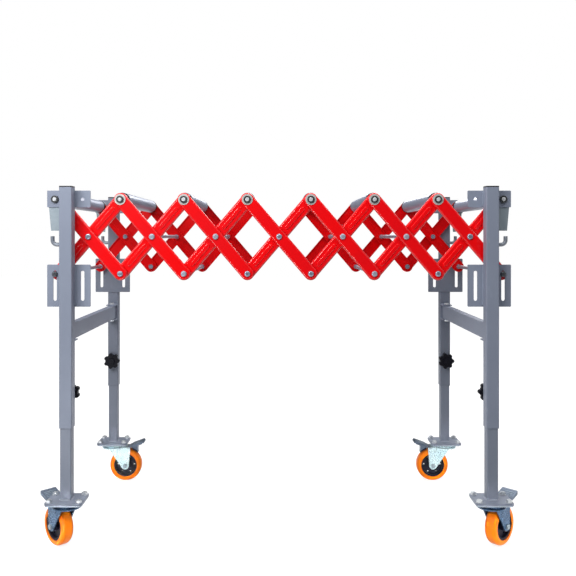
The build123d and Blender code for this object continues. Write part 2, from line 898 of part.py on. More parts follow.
def side_plane(base):
    """Upright plane through the swivel axis, X behind it and Y up."""
    return Plane(origin=base.origin, x_dir=base.x_dir, z_dir=-base.y_dir)


def axle_plane(base, run, z):
    """Plane whose Y axis is an axle of the caster."""
    return Plane(origin=base.from_local_coords((run, 0, z)), x_dir=base.x_dir, z_dir=(0, 0, 1))


def fork_body(base):
    """Pressed fork: crown, lower race and two tapered side plates."""
    upright_plane = side_plane(base)
    crown_reach = pedal_pivot_run - 2 * pedal_hub_radius
    top_length = fork_lead + trail + fork_back
    with BuildPart() as body:
        with BuildSketch(base.offset(crown_bottom)):
            Circle(crown_radius)
            with Locations((crown_reach / 2, 0)):
                Rectangle(crown_reach, 2 * fork_out)
        extrude(amount=crown_thickness)
        with BuildSketch(base.offset(crown_top)):
            Circle(race_radius)
        extrude(amount=race_height)
        for start in (fork_in, -fork_out):
            with BuildSketch(upright_plane.offset(start)):
                with Locations((trail, wheel_radius)):
                    Circle(fork_foot_radius)
                with Locations((top_length / 2 - fork_lead, crown_top - fork_top_band / 2)):
                    Rectangle(top_length, fork_top_band)
                make_hull()
            extrude(amount=fork_wall)
        for out in (NEAR, FAR):
            with BuildSketch(base):
                with BuildLine():
                    Polyline(
                        (fork_crease_run, out * fork_out),
                        (fork_crease_run - fork_crease_width, out * (fork_out - fork_crease_depth)),
                        (fork_crease_run - 2 * fork_crease_width, out * (fork_out - seat_gap)),
                        (-fork_lead - overrun, out * (fork_out - fork_front_draw)),
                        (-fork_lead - overrun, out * (fork_out + overrun)),
                        (fork_crease_run, out * (fork_out + overrun)),
                        close=True,
                    )
                make_face()
            extrude(amount=crown_bottom, mode=Mode.SUBTRACT)
        with BuildSketch(upright_plane.offset(-fork_out - overrun)):
            with Locations((trail, wheel_radius)):
                Circle(wheel_bolt_radius + seat_gap)
            with Locations((pedal_pivot_run, pedal_pivot_z)):
                Circle(pedal_pin_radius + seat_gap)
        extrude(amount=2 * (fork_out + overrun), mode=Mode.SUBTRACT)
        with BuildSketch(base.offset(crown_bottom)):
            Circle(king_radius + seat_gap)
        extrude(amount=crown_thickness + race_height, mode=Mode.SUBTRACT)
    return body


def caster_fork(name, base):
    bolt_end = fork_out + seat_gap
    head_end = bolt_end + wheel_bolt_head_height
    bolt_outline = [
        (0, -head_end),
        (wheel_bolt_head_radius, -head_end),
        (wheel_bolt_head_radius, -bolt_end),
        (wheel_bolt_radius, -bolt_end),
        (wheel_bolt_radius, bolt_end),
        (wheel_bolt_head_radius, bolt_end),
        (wheel_bolt_head_radius, head_end),
        (0, head_end),
    ]
    pin_outline = [
        (0, -fork_out),
        (pedal_pin_radius, -fork_out),
        (pedal_pin_radius, fork_out),
        (0, fork_out),
    ]
    king_shoulder = crown_bottom - seat_gap
    king_top = caster_plate_top - side_play
    king_outline = [
        (0, king_shoulder - king_head_height),
        (king_head_radius, king_shoulder - king_head_height),
        (king_head_radius, king_shoulder),
        (king_radius, king_shoulder),
        (king_radius, king_top),
        (0, king_top),
    ]
    pieces = [
        fork_body(base),
        turned(axle_plane(base, trail, wheel_radius), bolt_outline),
        turned(axle_plane(base, pedal_pivot_run, pedal_pivot_z), pin_outline),
        turned(upright(base.origin.X, base.origin.Y), king_outline),
    ]
    write_node(f"{name}_fork", pieces)


def caster_wheel(name, base):
    """Orange tread moulded on a black core with a web, a rim and a hub."""
    plane = axle_plane(base, trail, wheel_radius)
    rim_radius = wheel_radius - tread_thickness
    half_tread = tread_width / 2
    with BuildPart() as tread:
        add(ring(plane, rim_radius + seat_gap, wheel_radius, -half_tread, half_tread).part)
        outer_edges = tread.edges().filter_by(GeomType.CIRCLE).group_by(SortBy.RADIUS)[-1]
        fillet(outer_edges, min(tread_round, tread_thickness - overrun, half_tread - overrun))
    bore = wheel_bolt_radius + fit_clearance
    rim_inner = rim_radius - core_rim_depth
    half_rim = core_rim_width / 2
    half_web = core_web_width / 2
    half_hub = core_hub_width / 2
    outline = [
        (bore, -half_hub),
        (core_hub_radius, -half_hub),
        (core_hub_radius, -half_web),
        (rim_inner, -half_web),
        (rim_inner, -half_rim),
        (rim_radius, -half_rim),
        (rim_radius, half_rim),
        (rim_inner, half_rim),
        (rim_inner, half_web),
        (core_hub_radius, half_web),
        (core_hub_radius, half_hub),
        (bore, half_hub),
    ]
    hole_circle = core_hub_radius + core_hole_place_share * (rim_inner - core_hub_radius)
    with BuildPart() as core:
        add(turned(plane, outline).part)
        with BuildSketch(side_plane(base).offset(-half_web)):
            with Locations((trail, wheel_radius)):
                with PolarLocations(hole_circle, core_hole_count):
                    Circle(core_hole_radius)
        extrude(amount=core_web_width, mode=Mode.SUBTRACT)
    write_node(f"{name}_wheel", [tread, core])


def brake_pedal(name, base):
    """Pressed lever on the fork's pin, with the brake arm and its pad over the wheel."""
    plane = side_plane(base)
    root_top = pedal_pivot_z + pedal_hub_radius
    top = root_top + pedal_knee_rise
    under = top - pedal_sheet
    corner_reach = math.hypot(base_length / 2 - base_corner, base_width / 2 - base_corner)
    knee = corner_reach + base_corner + pedal_knee_clearance
    end = knee + pedal_tread_run
    slope_rate = math.tan(math.radians(pedal_slope))
    rise = pedal_tread_run * slope_rate
    arm_end = knee + brake_arm_run
    sheet_middle = under + pedal_sheet / 2
    pad_inner = wheel_radius + brake_pad_gap
    pad_outer = pad_inner + brake_pad_thickness
    with BuildPart() as lever:
        with BuildSketch(plane.offset(-pedal_root_width / 2)):
            with BuildLine():
                Polyline(
                    (pedal_pivot_run, root_top),
                    (knee, top),
                    (knee, under),
                    (pedal_pivot_run, root_top - pedal_sheet),
                    close=True,
                )
            make_face()
            with Locations((pedal_pivot_run, pedal_pivot_z)):
                Circle(pedal_hub_radius)
        extrude(amount=pedal_root_width)
        with BuildSketch(plane.offset(-pedal_width / 2)):
            with BuildLine():
                Polyline(
                    (knee, top),
                    (end, top + rise),
                    (end + pedal_lip, top + rise - pedal_lip),
                    (end + pedal_lip - pedal_sheet, top + rise - pedal_lip - pedal_sheet),
                    (end - pedal_sheet / 2, under + rise),
                    (knee, under),
                    close=True,
                )
            make_face()
        extrude(amount=pedal_width)
        for start in (-pedal_width / 2, pedal_width / 2 - pedal_flange_wall):
            with BuildSketch(plane.offset(start)):
                with BuildLine():
                    Polyline(
                        (knee, top),
                        (end, top + rise),
                        (end, under + rise - pedal_flange),
                        (knee + pedal_flange, under - pedal_flange / 2),
                        (knee, under - pedal_flange / 2),
                        close=True,
                    )
                make_face()
            extrude(amount=pedal_flange_wall)
        with BuildSketch(base.offset(wheel_radius)):
            with Locations((end + pedal_lip, 0)):
                Rectangle(2 * pedal_corner, 2 * pedal_width)
                RectangleRounded(
                    2 * pedal_tread_run, pedal_width, pedal_corner,
                    align=(Align.MAX, Align.CENTER), mode=Mode.SUBTRACT,
                )
        extrude(amount=2 * wheel_radius, mode=Mode.SUBTRACT)
        with BuildSketch(plane.offset(-brake_arm_width / 2)):
            with BuildLine():
                Polyline(
                    (knee, sheet_middle),
                    (arm_end, sheet_middle + brake_arm_run * slope_rate),
                    (arm_end, wheel_radius),
                    (knee, wheel_radius),
                    close=True,
                )
            make_face()
            with Locations((trail, wheel_radius)):
                Circle(pad_outer + seat_gap, mode=Mode.SUBTRACT)
        extrude(amount=brake_arm_width)
        with BuildSketch(plane.offset(-fork_out)):
            with Locations((pedal_pivot_run, pedal_pivot_z)):
                Circle(pedal_pin_radius + fit_clearance)
        extrude(amount=2 * fork_out, mode=Mode.SUBTRACT)
    with BuildPart() as pad:
        with BuildSketch(plane.offset(-brake_arm_width / 2)):
            with Locations((trail, wheel_radius)):
                Circle(pad_outer)
                Circle(pad_inner, mode=Mode.SUBTRACT)
            with Locations((knee, wheel_radius)):
                Rectangle(
                    brake_arm_run, pad_outer, align=(Align.MIN, Align.MIN), mode=Mode.INTERSECT
                )
        extrude(amount=brake_arm_width)
    write_node(f"{name}_brake_pedal", [lever, pad])


for end, end_name in ((LEFT, "left"), (RIGHT, "right")):
    for side, side_name in ((NEAR, "near"), (FAR, "far")):
        corner_name = f"{side_name}_{end_name}"
        leg_centre_x = end * leg_x
        leg_centre_y = side * leg_y
        left_heading = near_heading if side == NEAR else far_heading
        heading = left_heading if end == LEFT else 180 - left_heading
        base = caster_plane(leg_centre_x, leg_centre_y, heading)
        inner_leg(corner_name, leg_centre_x, leg_centre_y)
        height_knob(corner_name, leg_centre_x, side)
        caster_fork(corner_name, base)
        caster_wheel(corner_name, base)
        brake_pedal(corner_name, base)
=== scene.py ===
import math

import bmesh
import bpy
import numpy as np
from mathutils import Matrix, Vector


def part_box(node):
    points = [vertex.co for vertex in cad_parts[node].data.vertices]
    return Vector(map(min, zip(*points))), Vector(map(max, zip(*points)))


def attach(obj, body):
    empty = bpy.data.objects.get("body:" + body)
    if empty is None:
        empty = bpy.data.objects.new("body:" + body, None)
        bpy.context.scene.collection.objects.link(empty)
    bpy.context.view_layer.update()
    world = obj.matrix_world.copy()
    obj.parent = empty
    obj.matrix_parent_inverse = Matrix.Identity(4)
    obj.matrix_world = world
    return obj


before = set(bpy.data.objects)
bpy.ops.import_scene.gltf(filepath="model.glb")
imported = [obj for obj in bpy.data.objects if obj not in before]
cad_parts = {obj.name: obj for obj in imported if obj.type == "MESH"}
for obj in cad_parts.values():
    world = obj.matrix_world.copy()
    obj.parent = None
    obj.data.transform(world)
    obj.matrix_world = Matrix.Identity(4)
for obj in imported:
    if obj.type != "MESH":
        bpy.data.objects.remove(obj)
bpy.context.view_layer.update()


# Outer leg tubes: square mild-steel tube, saw-cut, with a threaded boss welded to the inner
# face for the height knob. Sprayed with a satin grey powder coat that leaves an orange peel.
# The far legs get a darker copy of the coat, which is painted shade.
class Wire:
    """One output of a finish's nodes. Arithmetic on it adds Math nodes."""

    def __init__(self, finish, socket):
        self.finish = finish
        self.socket = socket

    def math(self, operation, first, second):
        settings = {"operation": operation}
        return self.finish.node("ShaderNodeMath", settings, {0: first, 1: second})

    def __add__(self, other):
        return self.math("ADD", self, other)

    __radd__ = __add__

    def __mul__(self, other):
        return self.math("MULTIPLY", self, other)

    __rmul__ = __mul__

    def __abs__(self):
        return self.math("ABSOLUTE", self, 0)


class Finish:
    """A material, or the studio's world, and the nodes that make up its look."""

    def __init__(self, name, store="materials"):
        self.owner = getattr(bpy.data, store).new(name)
        self.owner.use_nodes = True
        self.tree = self.owner.node_tree
        self.tree.nodes.clear()

    def node(self, kind, settings=None, sockets=None, output=0):
        """Add a node: its settings first, then the values or wires of its sockets."""
        made = self.tree.nodes.new(kind)
        for key, value in (settings or {}).items():
            setattr(made, key, value)
        for key, value in (sockets or {}).items():
            if isinstance(value, Wire):
                self.tree.links.new(value.socket, made.inputs[key])
            else:
                made.inputs[key].default_value = value
        return Wire(self, made.outputs[output]) if made.outputs else None

    def place(self, stretch=(1, 1, 1)):
        """Place on the piece in metres, stretched along its axes."""
        where = self.node("ShaderNodeTexCoord", output="Object")
        settings = {"operation": "MULTIPLY"}
        return self.node("ShaderNodeVectorMath", settings, {0: where, 1: stretch})

    def noise(self, scale, detail, stretch=(1, 1, 1), distortion=0.0):
        sockets = {
            "Vector": self.place(stretch),
            "Scale": scale,
            "Detail": detail,
            "Distortion": distortion,
        }
        return self.node("ShaderNodeTexNoise", sockets=sockets)

    def span(self, wire, old, new=(0, 1)):
        """The old range of a wire, spread over the new one."""
        sockets = {
            "Value": wire,
            "From Min": old[0],
            "From Max": old[1],
            "To Min": new[0],
            "To Max": new[1],
        }
        return self.node("ShaderNodeMapRange", sockets=sockets)

    def blend(self, factor, first, second):
        """Colour that runs from the first to the second."""
        factor_in, first_in, second_in, colour_out = 0, 6, 7, 2
        sockets = {factor_in: factor}
        for key, colour in ((first_in, first), (second_in, second)):
            sockets[key] = colour if isinstance(colour, Wire) else (*colour, 1)
        return self.node("ShaderNodeMix", {"data_type": "RGBA"}, sockets, colour_out)

    def bump(self, height, depth):
        return self.node("ShaderNodeBump", sockets={"Height": height, "Distance": depth})

    def surface(self, colour, sockets):
        """Close the finish with its surface shader."""
        sockets = {"Base Color": colour, **sockets}
        shader = self.node("ShaderNodeBsdfPrincipled", sockets=sockets)
        self.node("ShaderNodeOutputMaterial", sockets={"Surface": shader})
        return self.owner


def powder_coat(name, colour, shade):
    """Satin powder coat with orange peel, faint clouding and a few handling scuffs."""
    coat = Finish(name)
    clouds = coat.noise(scale=7, detail=4)
    scuffs = coat.span(coat.noise(scale=60, detail=6, stretch=(1, 1, 0.25)), (0.66, 0.74))
    clouded = coat.blend(coat.span(clouds, (0.3, 0.7)), colour, shade)
    scuff_cover, scuff_paleness = 0.35, 1.3
    pale = [scuff_paleness * part for part in colour]
    peel = coat.noise(scale=900, detail=2) + 0.5 * coat.noise(scale=2600, detail=1)
    sockets = {
        "Roughness": coat.span(clouds, (0.3, 0.7), (0.38, 0.46)) + 0.1 * scuffs,
        "Metallic": 0.05,
        "Specular IOR Level": 0.2,
        "Normal": coat.bump(peel, depth=0.00012),
    }
    return coat.surface(coat.blend(scuffs * scuff_cover, clouded, pale), sockets)


def solids_of(node):
    """Faces, size and middle of each separate solid in a CAD node."""
    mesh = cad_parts[node].data
    places = np.empty(3 * len(mesh.vertices))
    mesh.vertices.foreach_get("co", places)
    places = places.reshape(-1, 3)
    same = np.unique(np.round(places, 6), axis=0, return_inverse=True)[1].ravel()
    corners = np.empty(len(mesh.loops), np.int64)
    mesh.loops.foreach_get("vertex_index", corners)
    corners = same[corners].reshape(-1, 3)
    label = np.arange(same.max() + 1)
    while True:
        lowest = label[corners].min(axis=1)
        newer = label.copy()
        np.minimum.at(newer, corners.ravel(), np.repeat(lowest, 3))
        newer = newer[newer]
        if (newer == label).all():
            break
        label = newer
    solids = []
    for one in np.unique(label):
        inside = places[label[same] == one]
        faces = np.flatnonzero(label[corners[:, 0]] == one)
        size = Vector(inside.max(axis=0) - inside.min(axis=0))
        middle = Vector((inside.max(axis=0) + inside.min(axis=0)) / 2)
        solids.append((faces, size, middle))
    return solids


def dress(node, choose):
    """Give each solid of a CAD node the material that choose(size, middle) names."""
    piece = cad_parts[node]
    piece.data.materials.clear()
    number = np.zeros(len(piece.data.polygons), np.int32)
    slots = []
    for faces, size, middle in solids_of(node):
        material = choose(size, middle)
        if material not in slots:
            slots.append(material)
            piece.data.materials.append(material)
        number[faces] = slots.index(material)
    piece.data.polygons.foreach_set("material_index", number)


grey_coat = powder_coat("grey_powder_coat", (0.265, 0.3, 0.385), (0.235, 0.265, 0.345))
# Darker copy of the grey coat for the far legs and plates: painted shade.
far_shaded_coat = powder_coat("far_grey_painted_shade_coat", (0.21, 0.235, 0.295), (0.185, 0.21, 0.27))
ends = ("left", "right")


def coat_with_far_shade(size, middle):
    return grey_coat if middle.y < 0 else far_shaded_coat


for end in ends:
    dress(f"{end}_leg_tubes", coat_with_far_shade)


# Caps on the leg tops: moulded black polyethylene, pushed into the open tube. The skin
# is faintly grained and goes grey where hands and straps rub it.
def moulded(name, colour, worn, roughness=0.45, gloss=0.3):
    """Moulded black plastic with a fine grain."""
    skin = Finish(name)
    patches = skin.noise(scale=45, detail=5)
    grain = skin.noise(scale=1400, detail=2)
    smoothest, roughest = roughness - 0.06, roughness + 0.08
    sockets = {
        "Roughness": skin.span(patches, (0.3, 0.7), (smoothest, roughest)),
        "Specular IOR Level": gloss,
        "Normal": skin.bump(grain, depth=0.00008),
    }
    return skin.surface(skin.blend(skin.span(patches, (0.4, 0.8)), colour, worn), sockets)


cap_black = moulded("cap_black", (0.007, 0.007, 0.009), (0.016, 0.016, 0.02))
for end in ends:
    dress(f"{end}_leg_caps", lambda size, middle: cap_black)


# Bracket plates: 3 mm sheet, laser-cut and welded to the inner face of each leg, coated
# with the legs. The upper plate holds the end axle; the lower one has two upright slots.
# The far plates take the darker copy of the coat, which is painted shade.
for end in ends:
    dress(f"{end}_bracket_plates", coat_with_far_shade)


# Coupling hooks and straps: a bent round bar welded to the outer face of each leg, and a
# pressed strap hung on the end axle that drops over the next table's hook. Zinc plated.
def zinc_plate(name, colour, tint, roughness, metal=0.85):
    """Bright zinc plate: metal with faint passivation tints and fine handling marks."""
    plate = Finish(name)
    tints = plate.noise(scale=28, detail=3, distortion=0.8)
    marks = plate.noise(scale=420, detail=4)
    smoothest, roughest = roughness - 0.08, roughness + 0.12
    sockets = {
        "Metallic": metal,
        "Roughness": plate.span(marks, (0.25, 0.75), (smoothest, roughest)),
        "Normal": plate.bump(marks, depth=0.00002),
    }
    return plate.surface(plate.blend(plate.span(tints, (0.35, 0.65)), colour, tint), sockets)


hook_zinc = zinc_plate("hook_zinc", (0.22, 0.24, 0.27), (0.18, 0.2, 0.24), 0.4, 0.5)
strap_zinc = zinc_plate("strap_zinc", (0.28, 0.33, 0.37), (0.24, 0.29, 0.33), 0.4, 0.4)
hook_tallest = 0.08


def hook_or_strap(size, middle):
    return hook_zinc if size.z <= hook_tallest else strap_zinc


for end in ends:
    dress(f"{end}_coupling_hooks", hook_or_strap)


# Crossbar: a rectangular tube between the near and far leg, coated with them. Each end sits
# in a U clip welded to the leg and is held by an upright bolt with a domed nut.
bolt_zinc = zinc_plate("bolt_zinc", (0.62, 0.64, 0.66), (0.55, 0.58, 0.62), 0.28)
crossbar_bolt_widest = 0.016


def crossbar_part(size, middle):
    return bolt_zinc if size.x < crossbar_bolt_widest else grey_coat


for end in ends:
    dress(f"{end}_crossbar", crossbar_part)


# Welds of the leg frames: rippled beads along the bracket plates, over and under the
# crossbar's clips, and round the hooks and the knobs' bosses. Coated with the legs.
def lay_bead(shape, points, up, radius, ripple=0.0):
    """Rounded bead of metal along points that lie in a plane square to up."""
    edge_count = 8
    ripple_pitch = 0.0016
    thinnest_end = 0.2
    closed = (points[0] - points[-1]).length < radius
    if closed:
        points = points[:-1]
    last = len(points) - 1
    lengths = [0.0]
    for here, there in zip(points, points[1:]):
        lengths.append(lengths[-1] + (there - here).length)
    turns = [2 * math.pi * edge / edge_count for edge in range(edge_count)]
    rings = []
    for index, point in enumerate(points):
        before = points[index - 1 if closed else max(index - 1, 0)]
        after = points[(index + 1) % len(points) if closed else min(index + 1, last)]
        across = (after - before).normalized().cross(up)
        run = lengths[index]
        thickness = radius * (1 + ripple * abs(math.sin(math.pi * run / ripple_pitch)))
        if not closed:
            near_end = min(run, lengths[-1] - run, radius) / radius
            thickness *= max(math.sqrt(1 - (1 - near_end) ** 2), thinnest_end)
        offsets = [across * math.cos(turn) + up * math.sin(turn) for turn in turns]
        rings.append([shape.verts.new(point + thickness * offset) for offset in offsets])
    for index in range(len(rings) if closed else last):
        ring, following = rings[index], rings[(index + 1) % len(rings)]
        for edge in range(edge_count):
            beside = (edge + 1) % edge_count
            shape.faces.new((ring[edge], ring[beside], following[beside], following[edge]))
    if not closed:
        shape.faces.new(rings[0][::-1])
        shape.faces.new(rings[-1])


def straight(centre, reach, step=0.0004):
    """Points on a line, as far on one side of a centre as on the other."""
    start, stop = centre - reach, centre + reach
    count = max(int((stop - start).length / step), 6)
    return [start.lerp(stop, index / count) for index in range(count + 1)]


def round_about(centre, first, second):
    """Points of the circle that first and second span about centre."""
    count = 72
    turns = [2 * math.pi * index / count for index in range(count + 1)]
    return [centre + math.cos(turn) * first + math.sin(turn) * second for turn in turns]


def fixed_piece(name, shape, finish, body):
    """Object from a mesh, with its finish, that rides on a body."""
    bmesh.ops.recalc_face_normals(shape, faces=shape.faces)
    mesh = bpy.data.meshes.new(name)
    shape.to_mesh(mesh)
    shape.free()
    for face in mesh.polygons:
        face.use_smooth = True
    mesh.materials.append(finish)
    piece = bpy.data.objects.new(name, mesh)
    bpy.context.scene.collection.objects.link(piece)
    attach(piece, body)


x_axis, y_axis, z_axis = Vector((1, 0, 0)), Vector((0, 1, 0)), Vector((0, 0, 1))
weld_ripple = 0.22  # share by which a bead swells along its run
plate_weld, boss_weld, hook_weld = 0.0021, 0.0014, 0.0015
plate_weld_stop, clip_weld_stop = 0.003, 0.002  # from the corner to the end of the bead
plate_weld_shift, clip_weld_shift = 0.0006, -0.0008  # out of the welded face
boss_radius, hook_root_radius = 0.0094, 0.0054
clip_narrowest, clip_widest = 0.025, 0.035  # sizes along X that only the clips have
for end in ends:
    leg_low, leg_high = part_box(f"{end}_leg_tubes")
    leg_middle = (leg_low[0] + leg_high[0]) / 2
    shape = bmesh.new()
    for _, size, middle in solids_of(f"{end}_bracket_plates"):
        weld_y = middle.y + math.copysign(size.y / 2 + plate_weld_shift, middle.y)
        rise = (size.z / 2 - plate_weld_stop) * z_axis
        for x in (leg_low[0], leg_high[0]):
            run = straight(Vector((x, weld_y, middle.z)), rise)
            lay_bead(shape, run, y_axis, plate_weld, weld_ripple)
    for _, size, middle in solids_of(f"{end}_crossbar"):
        if not clip_narrowest < size.x < clip_widest:
            continue
        weld_y = middle.y + math.copysign(size.y / 2 + clip_weld_shift, middle.y)
        reach = (size.x / 2 - clip_weld_stop) * x_axis
        for z in (middle.z - size.z / 2, middle.z + size.z / 2):
            run = straight(Vector((middle.x, weld_y, z)), reach)
            lay_bead(shape, run, y_axis, plate_weld, weld_ripple)
        knob_low, knob_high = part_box(f"{'near' if middle.y < 0 else 'far'}_{end}_knob")
        leg_face = middle.y + math.copysign(size.y / 2, middle.y)
        boss = Vector((leg_middle, leg_face, (knob_low[2] + knob_high[2]) / 2))
        run = round_about(boss, boss_radius * x_axis, boss_radius * z_axis)
        lay_bead(shape, run, y_axis, boss_weld, weld_ripple)
    for _, size, middle in solids_of(f"{end}_coupling_hooks"):
        if size.z > hook_tallest:
            continue
        root_x = leg_low[0] if middle.x < leg_middle else leg_high[0]
        root = Vector((root_x, middle.y, middle.z - size.z / 2 + size.y / 2))
        run = round_about(root, hook_root_radius * y_axis, hook_root_radius * z_axis)
        lay_bead(shape, run, x_axis, hook_weld, weld_ripple)
    fixed_piece(f"{end}_frame_welds", shape, grey_coat, f"{end}_frame")


# Lattice arms: pressed steel channels, dipped bright red and baked, so that the paint is
# glossy and thick. The far lattice gets a darker copy of the red, with less clear coat,
# which is painted shade. Their pivot pins, cross rods and spacers are zinc plated, and the
# end rods have dark heads.
def gloss_red(name, colour, deep, clear):
    """Thick gloss enamel over pressed steel."""
    paint = Finish(name)
    clouds = paint.noise(scale=9, detail=3)
    peel = paint.noise(scale=320, detail=2)
    sockets = {
        "Roughness": paint.span(clouds, (0.3, 0.7), (0.3, 0.4)),
        "Specular IOR Level": 0.1,
        "Coat Weight": clear,
        "Coat Roughness": 0.05,
        "Normal": paint.bump(peel, depth=0.00007),
    }
    return paint.surface(paint.blend(paint.span(clouds, (0.35, 0.65)), colour, deep), sockets)


arm_red = gloss_red("arm_red", (0.95, 0.001, 0.003), (0.86, 0.001, 0.005), 0.6)
# Darker red for the far lattice: painted shade.
far_arm_red_painted_shade = gloss_red("far_arm_red_painted_shade", (0.8, 0.0005, 0.002), (0.72, 0.0005, 0.003), 0.25)
pin_zinc = zinc_plate("pin_zinc", (0.34, 0.38, 0.47), (0.27, 0.31, 0.4), 0.22, 0.6)
rod_zinc = zinc_plate("rod_zinc", (0.36, 0.39, 0.47), (0.3, 0.33, 0.41), 0.36, 0.4)

rod_finish = Finish("end_rod")
rod_marks = rod_finish.noise(scale=420, detail=4)
rod_y = rod_finish.node("ShaderNodeSeparateXYZ", sockets={0: rod_finish.place()}, output="Y")
head_start, head_full = 0.2515, 0.2519  # from the table's middle line
bright_rod = rod_finish.blend(rod_marks, (0.38, 0.41, 0.48), (0.32, 0.35, 0.42))
dark_head = rod_finish.blend(rod_marks, (0.05, 0.055, 0.065), (0.08, 0.085, 0.1))
end_rod = rod_finish.surface(
    rod_finish.blend(
        rod_finish.span(abs(rod_y), (head_start, head_full)), bright_rod, dark_head
    ),
    {
        "Metallic": 0.45,
        "Roughness": rod_finish.span(rod_marks, (0.25, 0.75), (0.24, 0.4)),
        "Normal": rod_finish.bump(rod_marks, depth=0.00004),
    },
)
arm_shortest, end_rod_shortest, cross_rod_shortest = 0.1, 0.5, 0.1


def arm_part(size, middle):
    if size.x > arm_shortest:
        return arm_red if middle.y < 0 else far_arm_red_painted_shade
    if size.y > end_rod_shortest:
        return end_rod
    return rod_zinc if size.y > cross_rod_shortest else pin_zinc


for bay in range(1, 8):
    for lean in ("falling", "rising"):
        dress(f"{lean}_arms_{bay}", arm_part)


# Roller axles: bright drawn shafts through both lattices, each end with a wide plated
# washer and a dark round nut. The end axles have the same nuts outside the brackets.
nut_finish = Finish("nut_black")
nut_marks = nut_finish.noise(scale=500, detail=3)
nut_black = nut_finish.surface(
    nut_finish.blend(nut_marks, (0.02, 0.024, 0.026), (0.035, 0.038, 0.04)),
    {
        "Metallic": 0.2,
        "Roughness": 0.34,
        "Normal": nut_finish.bump(nut_marks, depth=0.00005),
    },
)
washer_zinc = zinc_plate("washer_zinc", (0.74, 0.72, 0.69), (0.64, 0.63, 0.62), 0.24, 0.3)
shaft_steel = zinc_plate("shaft_steel", (0.78, 0.8, 0.82), (0.68, 0.7, 0.73), 0.26, 0.3)
shaft_shortest, washer_narrowest, nut_narrowest = 0.1, 0.025, 0.0185


def axle_part(size, middle):
    if size.y > shaft_shortest:
        return shaft_steel
    if size.x > washer_narrowest:
        return washer_zinc
    return nut_black if size.x > nut_narrowest else pin_zinc


for index in range(2, 8):
    dress(f"roller_axle_{index}", axle_part)
for end in ends:
    dress(f"{end}_end_axle", axle_part)


# Rollers: zinc-plated steel tube with faint rings from the polishing belt, a moulded black
# cap in each end and a small bearing seated in each cap.
def roller_tube(name):
    """Plated tube, polished round its axis while it turned."""
    tube = Finish(name)
    rings = tube.noise(scale=60, detail=6, stretch=(1, 40, 1))
    clouds = tube.noise(scale=14, detail=2, stretch=(1, 0.4, 1))
    sockets = {
        "Metallic": 0.3,
        "Roughness": tube.span(rings, (0.3, 0.7), (0.3, 0.38)),
        "Normal": tube.bump(rings, depth=0.00001),
    }
    clouding = tube.span(clouds, (0.3, 0.7))
    return tube.surface(tube.blend(clouding, (0.34, 0.37, 0.47), (0.31, 0.34, 0.44)), sockets)


roller_zinc = roller_tube("roller_zinc")
roller_cap_black = moulded(
    "roller_cap_black", (0.007, 0.007, 0.008), (0.012, 0.012, 0.015), 0.6, 0.06
)
tube_shortest, roller_cap_narrowest = 0.1, 0.03


def roller_part(size, middle):
    if size.y > tube_shortest:
        return roller_zinc
    return roller_cap_black if size.x > roller_cap_narrowest else pin_zinc


for index in range(1, 9):
    dress(f"roller_{index}", roller_part)


# Inner legs: a smaller square tube that slides in the outer one, welded all round to a base
# plate and coated grey, in a darker copy of the legs' coat that is painted shade. Four bolts
# with washers hold the caster's top plate under it.
def leg_centre(corner, height):
    """Point on the middle line of an inner leg, about which its caster swivels."""
    low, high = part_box(f"{corner}_inner_leg")
    return Vector(((low[0] + high[0]) / 2, (low[1] + high[1]) / 2, height))


plate_zinc = zinc_plate("caster_plate_zinc", (0.42, 0.48, 0.54), (0.34, 0.4, 0.48), 0.3, 0.7)
# Darker copy of the grey coat for the inner legs: painted shade.
inner_shaded_coat = powder_coat("inner_leg_painted_shade_coat", (0.235, 0.262, 0.33), (0.205, 0.235, 0.3))
# Lighter copy of the grey coat for the foot welds: a painted highlight.
foot_weld_highlight_coat = powder_coat("foot_weld_highlight_coat", (0.36, 0.39, 0.46), (0.31, 0.34, 0.41))
inner_tube_shortest, top_plate_narrowest = 0.1, 0.05
inner_tube_half, base_plate_top = 0.014, 0.12545
foot_weld, foot_weld_half = 0.0027, 0.0125
corners = [f"{side}_{end}" for side in ("near", "far") for end in ends]


def inner_leg_part(size, middle):
    if size.z > inner_tube_shortest:
        return inner_shaded_coat
    return plate_zinc if size.x > top_plate_narrowest else bolt_zinc


for corner in corners:
    dress(f"{corner}_inner_leg", inner_leg_part)
    foot = leg_centre(corner, base_plate_top)
    shape = bmesh.new()
    for along, across in ((x_axis, y_axis), (y_axis, x_axis)):
        for offset in (-inner_tube_half, inner_tube_half):
            run = straight(foot + offset * across, foot_weld_half * along)
            lay_bead(shape, run, z_axis, foot_weld, weld_ripple)
    fixed_piece(f"{corner}_foot_weld", shape, foot_weld_highlight_coat, f"{corner}_leg")


# Height knobs: seven-lobed black plastic grips moulded on a threaded stud that presses on
# the inner leg.
knob_black = moulded("knob_black", (0.004, 0.004, 0.008), (0.008, 0.008, 0.013), 0.42, 0.1)
for corner in corners:
    dress(f"{corner}_knob", lambda size, middle: knob_black)


# Caster forks: pressed steel with a kingpin, the wheel's bolt and the pin of the brake
# pedal, zinc plated. The near forks get a dark blue copy of the plate, which is painted
# shade, and the far forks a pale copy, which is a painted reflection.
# Dark blue on the near forks is painted shade; pale on the far forks is a painted reflection.
fork_zinc_painted_shade = zinc_plate("fork_zinc_painted_shade", (0.08, 0.145, 0.245), (0.05, 0.1, 0.185), 0.24, 0.6)
fork_painted_reflection = zinc_plate("fork_zinc_painted_reflection", (0.66, 0.82, 0.86), (0.54, 0.74, 0.8), 0.26, 0.6)
fork_bolt_zinc = zinc_plate("fork_bolt_zinc", (0.3, 0.36, 0.4), (0.24, 0.3, 0.35), 0.3, 0.6)
fork_lowest = 0.03


def fork_part(size, middle):
    if size.z > fork_lowest:
        return fork_zinc_painted_shade if middle.y < 0 else fork_painted_reflection
    return fork_bolt_zinc


for corner in corners:
    dress(f"{corner}_fork", fork_part)


